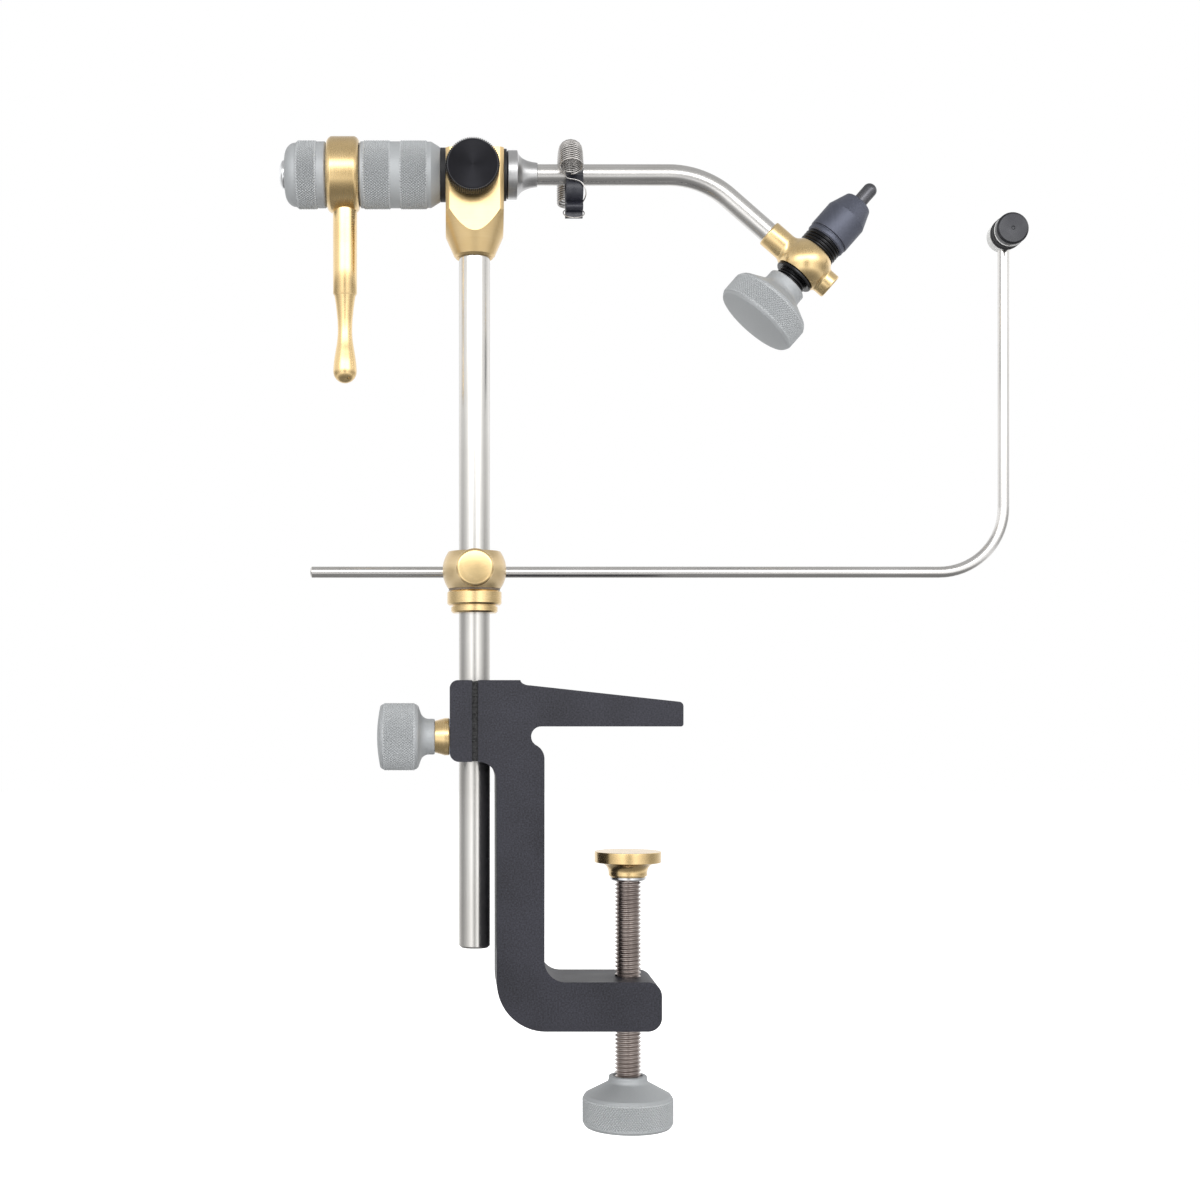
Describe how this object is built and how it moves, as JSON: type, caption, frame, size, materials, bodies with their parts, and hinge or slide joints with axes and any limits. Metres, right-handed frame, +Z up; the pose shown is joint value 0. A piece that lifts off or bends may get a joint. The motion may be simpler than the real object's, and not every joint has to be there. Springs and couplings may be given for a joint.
{
  "type": "fly tying vise",
  "caption": "Rotary fly tying vise: a C-clamp carries a stem with a rotating head, cranked shaft and split jaws, and a bent cradle arm.",
  "frame": {"origin": "on the clamp screw's axis, at the flat underside of the upper jaw, which rests on the table top", "axes": "+Z up along the stem, +X from the stem towards the jaws, +Y to the back"},
  "size_m": [0.2306, 0.0332, 0.3043],
  "materials": {
    "charcoal_anodised": "bead-blasted and charcoal anodised",
    "grey_metal": "matt, bead-blasted",
    "brass": "satin turned",
    "polished_steel": "ground and polished",
    "bright_steel": "bright turned",
    "dark_steel": "oiled, cut thread",
    "slate_steel": "satin, dark oxide",
    "jaw_steel": "hardened, satin",
    "black_metal": "black anodised, turned",
    "black_plastic": "matt",
    "black_rubber": "matt",
    "clear_plastic": "milky, moulded",
    "bronze": "sintered"
  },
  "bodies": {
    "base": {"clamp_frame": "charcoal_anodised"},
    "lock_washer": {"stem_lock_washer": "brass"},
    "lock_knob": {"stem_lock_knob": "grey_metal", "stem_lock_screw": "dark_steel"},
    "pad": {"clamp_pad": "brass", "pad_washer": "bright_steel"},
    "clamp_screw": {"clamp_screw": "dark_steel", "clamp_knob": "grey_metal"},
    "stem": {"stem_post": "polished_steel"},
    "head": {"head_block": "brass", "head_bushing_left": "bronze", "head_bushing_right": "bronze", "head_grub": "dark_steel"},
    "drag_plug": {"drag_plug": "clear_plastic"},
    "drag_knob": {"drag_knob": "black_metal", "drag_screw": "dark_steel"},
    "rotary": {"rotary_shaft": "polished_steel", "shaft_flange": "bright_steel", "thrust_washer_left": "black_plastic", "thrust_washer_right": "black_plastic", "grip_sleeve": "grey_metal", "crank_ring": "brass", "crank_handle": "brass", "end_cap": "grey_metal", "end_screw": "bright_steel", "jaw_block": "brass", "chuck_barrel": "black_metal", "barrel_lock_ring": "black_metal", "nose_sleeve": "slate_steel"},
    "jaw_knob": {"jaw_knob": "grey_metal"},
    "collet": {"collet_jaws": "jaw_steel", "draw_bar": "dark_steel"},
    "clip": {"clip_band": "black_plastic", "clip_spring": "bright_steel"},
    "cradle_collar": {"cradle_collar": "brass", "collar_grub": "dark_steel", "cradle_washer": "clear_plastic"},
    "cradle_body": {"cradle_body": "brass"},
    "thumb_screw": {"cradle_thumb_screw": "brass"},
    "cradle_rod": {"cradle_rod": "polished_steel", "cradle_hub": "clear_plastic", "cradle_tyre": "black_rubber", "cradle_spacer": "clear_plastic", "cradle_cap": "black_metal"}
  },
  "joints": [
    {"name": "stem_height", "type": "slide", "parent": "base", "child": "stem", "axis": [0, 0, 1], "range_m": [-0.01, 0.045]},
    {"name": "lock_travel", "type": "slide", "parent": "base", "child": "lock_washer", "axis": [1, 0, 0], "range_m": [-0.00199, 0]},
    {"name": "lock_turn", "type": "hinge", "parent": "lock_washer", "child": "lock_knob", "pos_m": [-0.065, -0.0091, -0.0031], "axis": [1, 0, 0], "range_deg": [-720, 0]},
    {"name": "clamp_travel", "type": "slide", "parent": "base", "child": "pad", "axis": [0, 0, 1], "range_m": [-0.0292, 0.0152]},
    {"name": "clamp_turn", "type": "hinge", "parent": "pad", "child": "clamp_screw", "pos_m": [0, 0, -0.1], "axis": [0, 0, 1], "range_deg": [-8424, 4392]},
    {"name": "head_swivel", "type": "hinge", "parent": "stem", "child": "head", "pos_m": [-0.0471, 0, 0.15], "axis": [0, 0, 1], "continuous": true},
    {"name": "rotary_turn", "type": "hinge", "parent": "head", "child": "rotary", "pos_m": [-0.0471, 0, 0.1692], "axis": [1, 0, 0], "continuous": true},
    {"name": "drag_travel", "type": "slide", "parent": "head", "child": "drag_plug", "axis": [0, 1, 0], "range_m": [-0.00079, 0]},
    {"name": "drag_turn", "type": "hinge", "parent": "drag_plug", "child": "drag_knob", "pos_m": [-0.0478, -0.012, 0.168], "axis": [0, 1, 0], "range_deg": [-360, 0]},
    {"name": "jaw_knob_turn", "type": "hinge", "parent": "rotary", "child": "jaw_knob", "pos_m": [0.05425, 0, 0.1417], "axis": [0.6593, 0, 0.7518], "range_deg": [-540, 180]},
    {"name": "jaw_travel", "type": "slide", "parent": "rotary", "child": "collet", "axis": [0.6593, 0, 0.7518], "range_m": [-0.00039, 0.00119]},
    {"name": "clip_slide", "type": "slide", "parent": "rotary", "child": "clip", "axis": [1, 0, 0], "range_m": [-0.006, 0.022]},
    {"name": "cradle_height", "type": "slide", "parent": "stem", "child": "cradle_collar", "axis": [0, 0, 1], "range_m": [-0.01, 0.045]},
    {"name": "cradle_swing", "type": "hinge", "parent": "cradle_collar", "child": "cradle_body", "pos_m": [-0.0471, 0, 0.04783], "axis": [0, 0, 1], "continuous": true},
    {"name": "rod_slide", "type": "slide", "parent": "cradle_body", "child": "cradle_rod", "axis": [1, 0, 0], "range_m": [-0.03, 0.035]},
    {"name": "thumb_turn", "type": "hinge", "parent": "cradle_body", "child": "thumb_screw", "pos_m": [-0.0471, -0.01, 0.04783], "axis": [0, 1, 0], "range_deg": [-90, 0]}
  ],
  "couplings": [
    {"joint": "lock_turn", "follows": "lock_travel", "rad_per_m": 6283.2},
    {"joint": "clamp_turn", "follows": "clamp_travel", "rad_per_m": 5026.5},
    {"joint": "drag_turn", "follows": "drag_travel", "rad_per_m": 7854},
    {"joint": "jaw_knob_turn", "follows": "jaw_travel", "rad_per_m": -7854}
  ]
}
